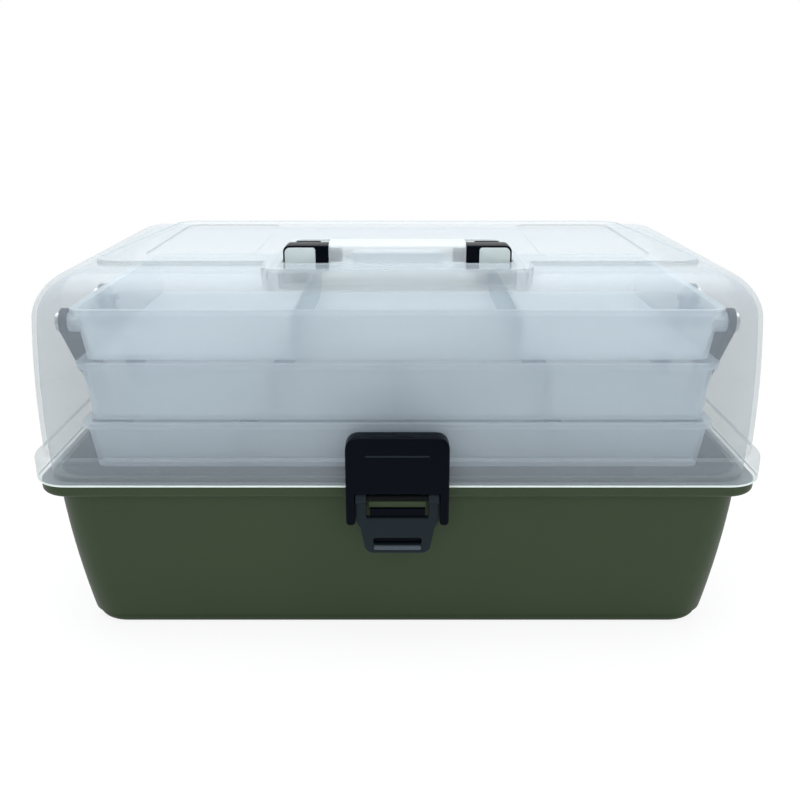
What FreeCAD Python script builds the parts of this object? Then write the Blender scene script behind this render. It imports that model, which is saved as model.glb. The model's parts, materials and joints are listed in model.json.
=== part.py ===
import FreeCAD, Part
import Sketcher
import math
import os
import re
from FreeCAD import Vector

# A portable fishing tackle box with a clear lid hinged at the back, a front latch, a carrying handle
# folded into the lid and three cantilever trays that swing up and back as the lid opens.
# Millimetres, +Z up, front at -Y, origin under the middle of the box on the surface it stands on.

document = FreeCAD.newDocument("TackleBox")
sizes = document.addObject("Spreadsheet::Sheet", "Sizes")

drivingSizes = [
    # lid, measured over its flange
    ("lid_width", 380.0), ("lid_depth", 220.0), ("flange_corner", 20.0), ("flange_height", 14.7),
    ("lid_wall_inset", 4.2), ("wall_corner", 18.0), ("shell_wall", 2.3), ("lid_top", 198.3),
    ("lid_foot_inset", 0.6), ("lid_chest_level", 140.0), ("lid_chest_inset", 0.2),
    ("shoulder_inset", 2.0), ("shoulder_round", 26.0), ("shoulder_lean", 4.0),
    # raised plateau, handle platform and panels on the lid
    ("plateau_front_width", 312.0), ("plateau_rear_width", 286.0), ("plateau_half_depth", 75.0),
    ("plateau_rise", 2.6), ("plateau_corner", 12.0),
    ("platform_width", 134.0), ("platform_front", 98.0), ("platform_rise", 2.6), ("platform_corner", 8.0),
    ("panel_near", 76.0), ("panel_far", 134.0), ("panel_half_depth", 58.0), ("panel_sink", 0.9),
    # handle recess and handle
    ("recess_width", 117.0), ("recess_front", 82.0), ("recess_rear", 5.5), ("recess_floor", 190.0),
    ("recess_corner", 6.0),
    ("handle_axis_back", 14.0), ("handle_axis_level", 197.0), ("handle_barrel_radius", 4.5),
    ("handle_pin_radius", 2.0), ("handle_gap", 1.0), ("handle_front", 79.0),
    ("handle_arm_inner", 44.0), ("handle_arm_thick", 3.4), ("handle_arm_top", 199.6),
    ("grip_width", 69.0), ("grip_deep", 20.0), ("grip_bottom", 197.0), ("grip_top", 210.0),
    ("grip_round", 4.0), ("block_drop", 1.0), ("tongue_length", 6.0), ("tongue_thick", 7.0),
    ("socket_gap", 0.15),
    # base tub
    ("seam_level", 90.5), ("seam_gap", 0.3), ("rim_width", 376.0), ("rim_depth", 216.0),
    ("rim_height", 6.5), ("rim_corner", 18.0), ("rim_round", 2.4),
    ("tub_top_width", 364.0), ("tub_top_depth", 203.6), ("tub_waist_level", 38.0),
    ("tub_waist_width", 356.0), ("tub_waist_depth", 195.0), ("tub_foot_width", 347.0),
    ("tub_foot_depth", 187.0), ("tub_corner", 20.0), ("foot_height", 6.0), ("foot_inset", 1.6),
    ("foot_round", 3.5), ("foot_ring", 12.0), ("foot_hollow", 3.5),
    ("bead_height", 2.5), ("bead_gap", 0.6),
    # hinge
    ("hinge_back", 114.0), ("hinge_level", 84.0), ("hinge_radius", 5.0), ("hinge_spread", 108.0),
    ("lid_knuckle", 26.0), ("base_knuckle", 12.0), ("knuckle_gap", 0.4), ("hinge_pin_radius", 2.0),
    ("running_gap", 0.06),
    # latch
    ("bracket_width", 52.0), ("bracket_front", 119.0), ("bracket_bottom", 92.5), ("bracket_top", 121.3),
    ("bracket_corner", 6.0), ("bracket_face", 3.0), ("bracket_leg", 4.6), ("bracket_leg_bottom", 73.5),
    ("latch_axis_front", 115.5), ("latch_axis_level", 88.0),
    ("latch_pin_radius", 1.5), ("latch_thick", 3.6), ("latch_side_gap", 0.4), ("latch_ear", 5.2),
    ("latch_panel_top", 77.0), ("latch_bottom", 56.0), ("latch_taper", 2.6), ("latch_hook", 4.4),
    ("latch_slot_level", 63.0), ("ledge_width", 29.0), ("ledge_front", 114.3), ("ledge_bottom", 82.0),
    ("ledge_thick", 6.2), ("hook_gap", 0.4),
    # trays
    ("tray_width", 330.0), ("tray_depth", 168.0), ("tray_centre", -2.0), ("tray_corner", 6.0),
    ("tray_wall", 1.9), ("tray_floor", 2.0), ("tray_draft", 3.0), ("tray_lip", 2.4), ("tray_lip_height", 3.0),
    ("lower_rim", 117.0), ("lower_bottom", 91.2), ("middle_rim", 149.6), ("middle_bottom", 118.0),
    ("upper_rim", 178.0), ("upper_bottom", 151.0), ("pivot_below_rim", 7.5),
    ("divider_thick", 1.6), ("divider_gap", 0.25), ("divider_drop", 2.5), ("guide_rib", 1.4),
    # arms and links
    ("base_pivot_y", 6.4), ("base_pivot_level", 66.0), ("top_pivot_y", -80.0), ("arm_spacing", 62.0),
    ("arm_inner", 168.3), ("arm_thick", 3.4), ("arm_radius", 7.0), ("arm_rib", 2.2), ("arm_sink", 1.0),
    ("pivot_radius", 2.5), ("boss_radius", 5.2), ("boss_gap", 0.3), ("boss_bore", 0.8), ("pin_end_gap", 0.5),
    ("pin_head_radius", 5.2),
    ("pin_head", 2.0), ("link_inner", 175.2), ("link_thick", 3.0), ("link_radius", 5.6),
    ("link_lid_y", -17.0), ("link_lid_level", 158.0), ("link_tray_y", 55.0), ("link_tray_level", 137.0),
    ("link_eye_play", 1.0), ("stud_radius", 2.5),
]

for row, (name, number) in enumerate(drivingSizes, start=1):
    sizes.set("A%d" % row, name)
    sizes.set("B%d" % row, str(number))
    sizes.setAlias("B%d" % row, name)
document.recompute()
aliases = {name for name, number in drivingSizes}


def bind(formula):
    """Formula of sheet aliases, written the way an expression needs it."""
    return re.sub(r"[a-z][a-z_]*", lambda word: "Sizes." + word[0] if word[0] in aliases else word[0], formula)


def value(formula):
    return float(sizes.evalExpression(bind(formula)))


shoulderSteps = 4  # sections between the lid wall and its flat top

# Places that several pieces share, as formulas of the driving sizes
flangeBottom = "(seam_level + seam_gap)"
flangeTop = "(seam_level + seam_gap + flange_height)"
wallHalfWidth = "(lid_width / 2 - lid_wall_inset)"
wallHalfDepth = "(lid_depth / 2 - lid_wall_inset)"
plateauTop = "(lid_top + plateau_rise)"
platformTop = "(lid_top + platform_rise)"
baseBossEnd = "(tub_waist_width / 2 + shell_wall / 2)"
lidBossEnd = "(lid_width / 2 - lid_wall_inset - lid_chest_inset - shell_wall)"
platformBottom = "(recess_floor - 4 * shell_wall)"
rimBottom = "(seam_level - rim_height)"
armLean = "((top_pivot_y - base_pivot_y) / (upper_rim - pivot_below_rim - base_pivot_level))"
pinTip = "(tray_width / 2 - tray_wall - 1)"


def pivotLevel(tray):
    return "(%s_rim - pivot_below_rim)" % tray


def pivotY(tray):
    return "(base_pivot_y + (%s - base_pivot_level) * %s)" % (pivotLevel(tray), armLean)


# ---- drawing helpers -------------------------------------------------------------------------------

def newBody(label):
    body = document.addObject("PartDesign::Body", label)
    body.Label = label
    return body


def sketchOn(body, plane, offset="0"):
    sketch = body.newObject("Sketcher::SketchObject", "Outline")
    face = next(item for item in body.Origin.OriginFeatures if item.Role == plane + "_Plane")
    sketch.AttachmentSupport = [(face, "")]
    sketch.MapMode = "FlatFace"
    sketch.setExpression("AttachmentOffset.Base.z", bind(offset))
    return sketch


def fix(sketch, kind, geometry, point, formula):
    """Hold one coordinate of a point at a formula."""
    index = sketch.addConstraint(Sketcher.Constraint(kind, -1, 1, geometry, point, value(formula)))
    sketch.setExpression("Constraints[%d]" % index, bind(formula))


def fixRadius(sketch, geometry, formula):
    index = sketch.addConstraint(Sketcher.Constraint("Radius", geometry, value(formula)))
    sketch.setExpression("Constraints[%d]" % index, bind(formula))


def hull(sketch, centres, radius):
    """Closed outline round equal discs, given anticlockwise as pairs of formulas."""
    r = value(radius)
    places = [Vector(value(across), value(up), 0) for across, up in centres]
    count = len(places)
    normals = []
    for place, follower in zip(places, places[1:] + places[:1]):
        along = (follower - place).normalize()
        normals.append(Vector(along.y, -along.x, 0))
    first = sketch.GeometryCount
    for side in range(count):
        after = (side + 1) % count
        out, turned = normals[side], normals[after]
        sketch.addGeometry(Part.LineSegment(places[side] + out * r, places[after] + out * r))
        start = math.atan2(out.y, out.x)
        sweep = (math.atan2(turned.y, turned.x) - start) % (2 * math.pi)
        circle = Part.Circle(places[after], Vector(0, 0, 1), r)
        sketch.addGeometry(Part.ArcOfCircle(circle, start, start + sweep))
    for side in range(count):
        line, arc = first + 2 * side, first + 2 * side + 1
        sketch.addConstraint(Sketcher.Constraint("Tangent", line, 2, arc, 1))
        sketch.addConstraint(Sketcher.Constraint("Tangent", arc, 2, first + (2 * side + 2) % (2 * count), 1))
        if side:
            sketch.addConstraint(Sketcher.Constraint("Equal", first + 1, arc))
        across, up = centres[(side + 1) % count]
        fix(sketch, "DistanceX", arc, 3, across)
        fix(sketch, "DistanceY", arc, 3, up)
    fixRadius(sketch, first + 1, radius)


def roundedRectangle(sketch, left, right, bottom, top, corner):
    """Rectangle with four equal corner arcs; every argument is a formula."""
    x0, x1 = "%s + %s" % (left, corner), "%s - (%s)" % (right, corner)
    y0, y1 = "%s + %s" % (bottom, corner), "%s - (%s)" % (top, corner)
    hull(sketch, [(x0, y0), (x1, y0), (x1, y1), (x0, y1)], corner)


def centredRectangle(sketch, halfWidth, halfDepth, corner):
    roundedRectangle(sketch, "-(%s)" % halfWidth, halfWidth, "-(%s)" % halfDepth, halfDepth, corner)


def polygon(sketch, corners):
    """Closed outline through corners given as pairs of formulas."""
    first = sketch.GeometryCount
    places = [Vector(value(across), value(up), 0) for across, up in corners]
    for start, end in zip(places, places[1:] + places[:1]):
        sketch.addGeometry(Part.LineSegment(start, end))
    for side, (across, up) in enumerate(corners):
        follower = first + (side + 1) % len(corners)
        sketch.addConstraint(Sketcher.Constraint("Coincident", first + side, 2, follower, 1))
        fix(sketch, "DistanceX", first + side, 1, across)
        fix(sketch, "DistanceY", first + side, 1, up)


def rectangle(sketch, left, right, bottom, top):
    polygon(sketch, [(left, bottom), (right, bottom), (right, top), (left, top)])


def disc(sketch, across, up, radius):
    index = sketch.addGeometry(Part.Circle(Vector(value(across), value(up), 0), Vector(0, 0, 1), value(radius)))
    fix(sketch, "DistanceX", index, 3, across)
    fix(sketch, "DistanceY", index, 3, up)
    fixRadius(sketch, index, radius)


def strap(sketch, startY, startZ, endY, endZ, radius):
    """Round-ended bar outline between two centres."""
    hull(sketch, [(startY, startZ), (endY, endZ)], radius)


def extrude(body, kind, sketch, length, reverse=False, middle=False):
    """Pad or Pocket of a sketch; a Pocket goes against the sketch's normal unless reversed."""
    feature = body.newObject("PartDesign::" + kind, kind)
    feature.Profile = sketch
    feature.Reversed = reverse
    if middle:
        feature.SideType = "Symmetric"
    feature.setExpression("Length", bind(length))
    document.recompute()
    return feature


def pad(body, sketch, length, reverse=False, middle=False):
    return extrude(body, "Pad", sketch, length, reverse, middle)


def pocket(body, sketch, length, reverse=False, middle=False):
    before = body.Shape.Volume
    feature = extrude(body, "Pocket", sketch, length, reverse, middle)
    if body.Shape.Volume >= before:
        raise RuntimeError("a cut in %s removes nothing" % body.Label)
    return feature


def loft(body, kind, sections):
    feature = body.newObject("PartDesign::" + kind, kind)
    feature.Profile = sections[0]
    feature.Sections = sections[1:]
    feature.Ruled = False
    document.recompute()
    return feature


def mirrored(body, features):
    """The same features on the other side of the middle plane X = 0."""
    feature = body.newObject("PartDesign::Mirrored", "Mirrored")
    face = next(item for item in body.Origin.OriginFeatures if item.Role == "YZ_Plane")
    feature.Originals = features
    feature.MirrorPlane = (face, [""])
    body.Tip = feature
    document.recompute()
    return feature


def fillet(body, base, radius, wanted):
    """Fillet of the edges that pass the test wanted(box, edge)."""
    names = ["Edge%d" % number for number, edge in enumerate(base.Shape.Edges, start=1)
             if wanted(edge.BoundBox, edge)]
    feature = body.newObject("PartDesign::Fillet", "Fillet")
    feature.Base = (base, names)
    feature.UseAllEdges = False
    feature.setExpression("Radius", bind(radius))
    document.recompute()
    return feature


def near(one, other):
    return abs(one - other) < 0.01


def flatAt(box, level):
    return near(box.ZMin, level) and near(box.ZMax, level)


# ---- base ------------------------------------------------------------------------------------------

def ring(body, halfWidth, halfDepth, corner, level):
    sketch = sketchOn(body, "XY", level)
    centredRectangle(sketch, halfWidth, halfDepth, corner)
    return sketch


def tubSections(body, inset):
    rows = [("tub_foot_width", "tub_foot_depth", "foot_height"),
            ("tub_waist_width", "tub_waist_depth", "tub_waist_level"),
            ("tub_top_width", "tub_top_depth", "seam_level")]
    if inset:
        rows[2] = (rows[2][0], rows[2][1], "seam_level + bead_height")
    return [ring(body, "%s / 2 - %s" % (wide, inset or "0"), "%s / 2 - %s" % (deep, inset or "0"),
                 "tub_corner - %s" % (inset or "0"), level) for wide, deep, level in rows]


def makeBase():
    body = newBody("base_tub")
    loft(body, "AdditiveLoft", tubSections(body, ""))
    foot = ring(body, "tub_foot_width / 2 - foot_inset", "tub_foot_depth / 2 - foot_inset", "tub_corner", "0")
    foot = pad(body, foot, "foot_height")
    fillet(body, foot, "foot_round", lambda box, edge: flatAt(box, 0))
    rim = pad(body, ring(body, "rim_width / 2", "rim_depth / 2", "rim_corner", rimBottom), "rim_height")
    rim = fillet(body, rim, "rim_round", lambda box, edge: flatAt(box, value(rimBottom))
                 and onRectangle(edge, "rim_width / 2", "rim_depth / 2", "rim_corner"))
    fillet(body, rim, "rim_round / 3", lambda box, edge: flatAt(box, value("seam_level"))
           and onRectangle(edge, "rim_width / 2", "rim_depth / 2", "rim_corner"))
    inset = " - lid_foot_inset - shell_wall - bead_gap"
    bead = ring(body, wallHalfWidth + inset, wallHalfDepth + inset, "wall_corner - shell_wall - bead_gap",
                "seam_level")
    pad(body, bead, "bead_height")
    hingeKnuckles(body)
    catchLedge(body)
    loft(body, "SubtractiveLoft", tubSections(body, "shell_wall"))
    hollow = ring(body, "tub_foot_width / 2 - foot_ring", "tub_foot_depth / 2 - foot_ring",
                  "tub_corner - foot_ring / 2", "0")
    pocket(body, hollow, "foot_hollow", reverse=True)
    armBosses(body)
    bore = sketchOn(body, "YZ", "0")
    disc(bore, "hinge_back", "hinge_level", "hinge_pin_radius + running_gap")
    pocket(body, bore, "lid_width", middle=True)
    return body


def onRectangle(edge, halfWidth, halfDepth, corner):
    """True where an edge's middle lies on a rounded rectangle centred on the origin."""
    middle = edge.valueAt((edge.FirstParameter + edge.LastParameter) / 2)
    r = value(corner)
    across = max(abs(middle.x) - (value(halfWidth) - r), 0)
    along = max(abs(middle.y) - (value(halfDepth) - r), 0)
    return near((across ** 2 + along ** 2) ** 0.5, r)


def hingeKnuckles(body):
    """Two pairs of base knuckles, each pair straddling one lid knuckle."""
    reach = "(hinge_spread + lid_knuckle / 2 + knuckle_gap)"
    knuckles = []
    for start in (reach, "(hinge_spread - lid_knuckle / 2 - knuckle_gap - base_knuckle)"):
        barrel = sketchOn(body, "YZ", start)
        disc(barrel, "hinge_back", "hinge_level", "hinge_radius")
        knuckles.append(pad(body, barrel, "base_knuckle"))
        web = sketchOn(body, "YZ", start)
        inside = "tub_waist_depth / 2 + shell_wall"
        polygon(web, [("hinge_back", "hinge_level - hinge_radius"), ("hinge_back", "hinge_level + hinge_radius"),
                      (inside, "hinge_level + hinge_radius"),
                      (inside, "hinge_level - 3 * hinge_radius")])
        knuckles.append(pad(body, web, "base_knuckle"))
    mirrored(body, knuckles)


def catchLedge(body):
    """Ledge under the front of the rim, which the latch hooks under."""
    ledge = sketchOn(body, "YZ", "0")
    polygon(ledge, [("-tub_waist_depth / 2 - shell_wall", "ledge_bottom"), ("-ledge_front", "ledge_bottom"),
                    ("-ledge_front", "ledge_bottom + ledge_thick / 2"),
                    ("-rim_depth / 2", "ledge_bottom + ledge_thick"),
                    ("-tub_waist_depth / 2 - shell_wall", "ledge_bottom + ledge_thick")])
    pad(body, ledge, "ledge_width", middle=True)


def armBosses(body):
    """Bored bosses inside the end walls that carry the tray arms."""
    face = "(arm_inner + arm_thick + boss_gap)"
    bosses = sketchOn(body, "YZ", face)
    for y in ("base_pivot_y", "base_pivot_y + arm_spacing"):
        disc(bosses, y, "base_pivot_level", "boss_radius * 1.3")
    bosses = pad(body, bosses, "%s - %s" % (baseBossEnd, face))
    mirrored(body, [bosses])
    bores = sketchOn(body, "YZ", face)
    for y in ("base_pivot_y", "base_pivot_y + arm_spacing"):
        disc(bores, y, "base_pivot_level", "pivot_radius + running_gap")
    bores = pocket(body, bores, "(%s - %s) * boss_bore" % (baseBossEnd, face), reverse=True)
    mirrored(body, [bores])


# ---- lid -------------------------------------------------------------------------------------------

def lidForm(body, kind, wall):
    """Bulging lid wall and its rounded shoulder, set in by a wall thickness."""
    rise = "shoulder_round * (1 - sin(shoulder_lean))"
    side = "%s - %s" % (wallHalfWidth, "%s")
    deep = "%s - %s" % (wallHalfDepth, "%s")
    rows = [("(lid_foot_inset + %s)" % wall, flangeBottom), ("(lid_chest_inset + %s)" % wall, "lid_chest_level"),
            ("(shoulder_inset + %s * cos(shoulder_lean))" % wall,
             "lid_top - %s - %s * sin(shoulder_lean)" % (rise, wall))]
    loft(body, kind, [ring(body, side % inset, deep % inset, "wall_corner - " + wall, level)
                      for inset, level in rows])
    sections = []
    for step in range(shoulderSteps + 1):
        lean = "(shoulder_lean + (90 - shoulder_lean) * %d / %d)" % (step, shoulderSteps)
        sweep = "shoulder_round * (cos(shoulder_lean) - cos(%s))" % lean
        inset = "(shoulder_inset + %s + %s * cos(%s))" % (sweep, wall, lean)
        level = "lid_top - shoulder_round * (1 - sin(%s)) - %s * sin(%s)" % (lean, wall, lean)
        corner = "wall_corner - %s - %s / 2" % (wall, sweep)
        sections.append(ring(body, side % inset, deep % inset, corner, level))
    return loft(body, kind, sections)


def makeLid():
    body = newBody("lid_shell")
    lidForm(body, "AdditiveLoft", "0")
    flange = pad(body, ring(body, "lid_width / 2", "lid_depth / 2", "flange_corner", flangeBottom), "flange_height")
    flange = fillet(body, flange, "lid_wall_inset * 0.8", lambda box, edge: flatAt(box, value(flangeTop))
                    and onRectangle(edge, "lid_width / 2", "lid_depth / 2", "flange_corner"))
    fillet(body, flange, "seam_gap * 3", lambda box, edge: flatAt(box, value(flangeBottom))
           and onRectangle(edge, "lid_width / 2", "lid_depth / 2", "flange_corner"))
    lidPlateau(body)
    hingeLugs(body)
    lidForm(body, "SubtractiveLoft", "shell_wall")
    handleRecess(body)
    linkBosses(body)
    bore = sketchOn(body, "YZ", "0")
    disc(bore, "hinge_back", "hinge_level", "hinge_pin_radius + running_gap")
    pocket(body, bore, "lid_width", middle=True)
    return body


def lidPlateau(body):
    """Raised top that narrows to the back, with two sunk panels and the handle platform."""
    top = sketchOn(body, "XY", "lid_top - shell_wall / 2")
    front, rear = "(plateau_front_width / 2 - plateau_corner)", "(plateau_rear_width / 2 - plateau_corner)"
    end = "(plateau_half_depth - plateau_corner)"
    hull(top, [("-" + front, "-" + end), (front, "-" + end), (rear, end), ("-" + rear, end)], "plateau_corner")
    top = pad(body, top, "plateau_rise + shell_wall / 2")
    fillet(body, top, "plateau_rise / 3", lambda box, edge: flatAt(box, value(plateauTop)))
    platform = sketchOn(body, "XY", platformBottom)
    roundedRectangle(platform, "-platform_width / 2", "platform_width / 2", "-platform_front", "0",
                     "platform_corner")
    pad(body, platform, "%s - %s" % (platformTop, platformBottom))
    panels = sketchOn(body, "XY", plateauTop)
    for left, right in (("panel_near", "panel_far"), ("-panel_far", "-panel_near")):
        roundedRectangle(panels, left, right, "-panel_half_depth", "panel_half_depth", "platform_corner")
    pocket(body, panels, "panel_sink")


def handleRecess(body):
    """Well in the lid that the folded handle lies in, and the hollow under the platform's front."""
    hollow = sketchOn(body, "XY", platformTop + " - shell_wall")
    roundedRectangle(hollow, "-platform_width / 2 + shell_wall", "platform_width / 2 - shell_wall",
                     "-platform_front + shell_wall", "-recess_rear", "platform_corner - shell_wall")
    pocket(body, hollow, "%s - shell_wall - %s + 1" % (platformTop, platformBottom))
    tub = sketchOn(body, "XY", "recess_floor - shell_wall")
    roundedRectangle(tub, "-recess_width / 2 - shell_wall", "recess_width / 2 + shell_wall",
                     "-recess_front - shell_wall", "-recess_rear + shell_wall", "recess_corner + shell_wall")
    pad(body, tub, platformTop + " - recess_floor + shell_wall - 0.5")
    well = sketchOn(body, "XY", "grip_top")
    roundedRectangle(well, "-recess_width / 2", "recess_width / 2", "-recess_front", "-recess_rear", "recess_corner")
    pocket(body, well, "grip_top - recess_floor")
    bosses = sketchOn(body, "YZ", "recess_width / 2 - 0.5")
    disc(bosses, "-handle_axis_back", "handle_axis_level", "handle_barrel_radius - 0.5")
    mirrored(body, [pad(body, bosses, "shell_wall * 2")])
    bores = sketchOn(body, "YZ", "recess_width / 2 - 1")
    disc(bores, "-handle_axis_back", "handle_axis_level", "handle_pin_radius + running_gap")
    mirrored(body, [pocket(body, bores, "shell_wall * 2", reverse=True)])


def hingeLugs(body):
    """One knuckle per hinge, hung on a strap behind the rim."""
    lug = sketchOn(body, "YZ", "hinge_spread - lid_knuckle / 2")
    disc(lug, "hinge_back", "hinge_level", "hinge_radius")
    barrel = pad(body, lug, "lid_knuckle")
    strapSketch = sketchOn(body, "YZ", "hinge_spread - lid_knuckle / 2")
    polygon(strapSketch, [("hinge_back - hinge_radius", "hinge_level"), ("hinge_back + hinge_radius", "hinge_level"),
                          ("hinge_back + hinge_radius", flangeBottom),
                          ("lid_depth / 2 + 1", flangeTop + " - lid_wall_inset"),
                          ("hinge_back - hinge_radius", flangeTop + " - lid_wall_inset")])
    mirrored(body, [barrel, pad(body, strapSketch, "lid_knuckle")])


def linkBosses(body):
    """Bored bosses inside the lid's end walls that carry the lid links."""
    face = "(link_inner + link_thick + boss_gap)"
    boss = sketchOn(body, "YZ", face)
    disc(boss, "link_lid_y", "link_lid_level", "boss_radius")
    mirrored(body, [pad(body, boss, "%s - %s" % (lidBossEnd, face))])
    bore = sketchOn(body, "YZ", face)
    disc(bore, "link_lid_y", "link_lid_level", "pivot_radius + running_gap")
    mirrored(body, [pocket(body, bore, "(%s - %s) * boss_bore" % (lidBossEnd, face), reverse=True)])


# ---- latch -----------------------------------------------------------------------------------------

def makeBracket():
    """Cover on the lid's front whose two legs carry the latch pin."""
    body = newBody("latch_bracket")
    legInside = "(bracket_width / 2 - bracket_leg)"
    outline = sketchOn(body, "XZ", "lid_depth / 2")
    polygon(outline, [("-bracket_width / 2", "bracket_leg_bottom"), ("-" + legInside, "bracket_leg_bottom"),
                      ("-" + legInside, "bracket_bottom"), (legInside, "bracket_bottom"),
                      (legInside, "bracket_leg_bottom"), ("bracket_width / 2", "bracket_leg_bottom"),
                      ("bracket_width / 2", "bracket_top"), ("-bracket_width / 2", "bracket_top")])
    cover = pad(body, outline, "bracket_front - lid_depth / 2")
    top = value("bracket_top")
    cover = fillet(body, cover, "bracket_corner", lambda box, edge: near(box.ZMin, top) and box.YLength > 1
                   and box.XLength < 1)
    front = -value("bracket_front")
    cover = fillet(body, cover, "bracket_face / 2.5", lambda box, edge: near(box.YMin, front) and near(box.YMax, front)
                   and (box.ZMax > value("bracket_bottom") + 1 or box.ZMin < value("bracket_bottom") - 1))
    back = sketchOn(body, "XZ", wallHalfDepth + " + boss_gap * 4")
    rectangle(back, "-" + legInside, legInside, flangeTop + " + boss_gap", "bracket_top - bracket_face")
    pad(body, back, "lid_wall_inset")
    hollow = sketchOn(body, "XZ", wallHalfDepth)
    rectangle(hollow, "-" + legInside + " + 2", legInside + " - 2", "bracket_bottom",
              "bracket_top - 2 * bracket_face")
    pocket(body, hollow, "bracket_front - bracket_face - %s" % wallHalfDepth, reverse=True)
    bore = sketchOn(body, "YZ", "0")
    disc(bore, "-latch_axis_front", "latch_axis_level", "latch_pin_radius + running_gap")
    pocket(body, bore, "bracket_width + 2", middle=True)
    return body


def makeLatchLever():
    """Lever with two ears on the pin, a window, a hook bar under the ledge and a finger slot."""
    body = newBody("latch_lever")
    half = "(bracket_width / 2 - bracket_leg - latch_side_gap)"
    front = "(latch_axis_front + latch_thick / 2)"
    outline = sketchOn(body, "XZ", front)
    polygon(outline, [("-" + half, "latch_axis_level"), ("-" + half, "latch_panel_top - latch_taper"),
                      ("-" + half + " + latch_taper", "latch_bottom"), (half + " - latch_taper", "latch_bottom"),
                      (half, "latch_panel_top - latch_taper"), (half, "latch_axis_level"),
                      (half + " - latch_ear", "latch_axis_level"), (half + " - latch_ear", "latch_panel_top"),
                      ("-" + half + " + latch_ear", "latch_panel_top"),
                      ("-" + half + " + latch_ear", "latch_axis_level")])
    plate = pad(body, outline, "latch_thick", reverse=True)
    low = value("latch_bottom")
    fillet(body, plate, "latch_ear * 0.9", lambda box, edge: near(box.ZMin, low) and box.YLength > 1
           and box.ZLength < 0.1 and box.XLength < 0.1)
    ears = sketchOn(body, "YZ", half + " - latch_ear")
    disc(ears, "-latch_axis_front", "latch_axis_level", "latch_thick * 0.9")
    mirrored(body, [pad(body, ears, "latch_ear")])
    hook = sketchOn(body, "YZ", "0")
    polygon(hook, [("-latch_axis_front", "latch_panel_top - latch_hook"),
                   ("-latch_axis_front", "ledge_bottom - hook_gap"),
                   ("-latch_axis_front + latch_thick / 2 + 1.4", "ledge_bottom - hook_gap"),
                   ("-latch_axis_front + latch_thick / 2 + 1.4", "latch_panel_top - latch_hook / 2")])
    pad(body, hook, "ledge_width - 1", middle=True)
    slot = sketchOn(body, "XZ", front)
    roundedRectangle(slot, "-" + half + " + latch_ear", half + " - latch_ear", "latch_slot_level - 1.2",
                     "latch_slot_level + 1.2", "1")
    pocket(body, slot, "latch_thick / 3")
    bore = sketchOn(body, "YZ", "0")
    disc(bore, "-latch_axis_front", "latch_axis_level", "latch_pin_radius + running_gap")
    pocket(body, bore, "bracket_width", middle=True)
    return body


# ---- handle ----------------------------------------------------------------------------------------

def makeHandleArm(label, side):
    """Flat arm with its hinge barrel, the raised end of the crossbar and the tongue in the grip."""
    body = newBody(label)
    outside = "(recess_width / 2 - handle_gap)"

    def across(inner, outer):
        return (inner, outer) if side > 0 else ("-" + outer, "-" + inner)

    left, right = across("handle_arm_inner", outside)
    arm = sketchOn(body, "XY", "handle_arm_top - handle_arm_thick")
    roundedRectangle(arm, left, right, "-handle_front", "-handle_axis_back", "handle_gap")
    pad(body, arm, "handle_arm_thick")
    left, right = across("(grip_width / 2 + socket_gap)", "(handle_arm_inner + handle_gap)")
    block = sketchOn(body, "XY", "handle_arm_top - handle_arm_thick")
    rectangle(block, left, right, "-handle_front", "-handle_front + grip_deep - block_drop")
    block = pad(body, block, "grip_top - block_drop - handle_arm_top + handle_arm_thick")
    top = value("grip_top - block_drop")
    fillet(body, block, "grip_round * 0.6", lambda box, edge: flatAt(box, top) and box.XLength > 1)
    left, right = across("(grip_width / 2 - tongue_length)", "(handle_arm_inner)")
    tongue = sketchOn(body, "XY", "(grip_bottom + grip_top - tongue_thick) / 2")
    rectangle(tongue, left, right, "-handle_front + (grip_deep - tongue_thick) / 2",
              "-handle_front + (grip_deep + tongue_thick) / 2")
    pad(body, tongue, "tongue_thick")
    barrel = sketchOn(body, "YZ", across("handle_arm_inner", outside)[0])
    disc(barrel, "-handle_axis_back", "handle_axis_level", "handle_barrel_radius")
    barrel = pad(body, barrel, "%s - handle_arm_inner" % outside)
    bore = sketchOn(body, "YZ", "%d * %s" % (side, outside))
    disc(bore, "-handle_axis_back", "handle_axis_level", "handle_pin_radius + running_gap")
    pocket(body, bore, "handle_barrel_radius * 2", reverse=side < 0)
    return body


def makeGrip():
    """Clear grip sleeve, socketed at both ends for the arms' tongues and open underneath."""
    body = newBody("handle_grip")
    bar = sketchOn(body, "YZ", "-grip_width / 2")
    roundedRectangle(bar, "-handle_front", "-handle_front + grip_deep", "grip_bottom", "grip_top", "grip_round")
    pad(body, bar, "grip_width")
    socket = sketchOn(body, "YZ", "grip_width / 2")
    middle = "(grip_bottom + grip_top) / 2"
    half = "(tongue_thick / 2 + socket_gap)"
    rectangle(socket, "-handle_front + grip_deep / 2 - " + half, "-handle_front + grip_deep / 2 + " + half,
              middle + " - " + half, middle + " + " + half)
    mirrored(body, [pocket(body, socket, "tongue_length + socket_gap * 2")])
    hollow = sketchOn(body, "XY", "grip_bottom")
    roundedRectangle(hollow, "-grip_width / 2 + tongue_length * 2", "grip_width / 2 - tongue_length * 2",
                     "-handle_front + grip_round", "-handle_front + grip_deep - grip_round", "grip_round / 2")
    pocket(body, hollow, "(grip_top - grip_bottom) * 0.6", reverse=True)
    return body


# ---- trays -----------------------------------------------------------------------------------------

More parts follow.
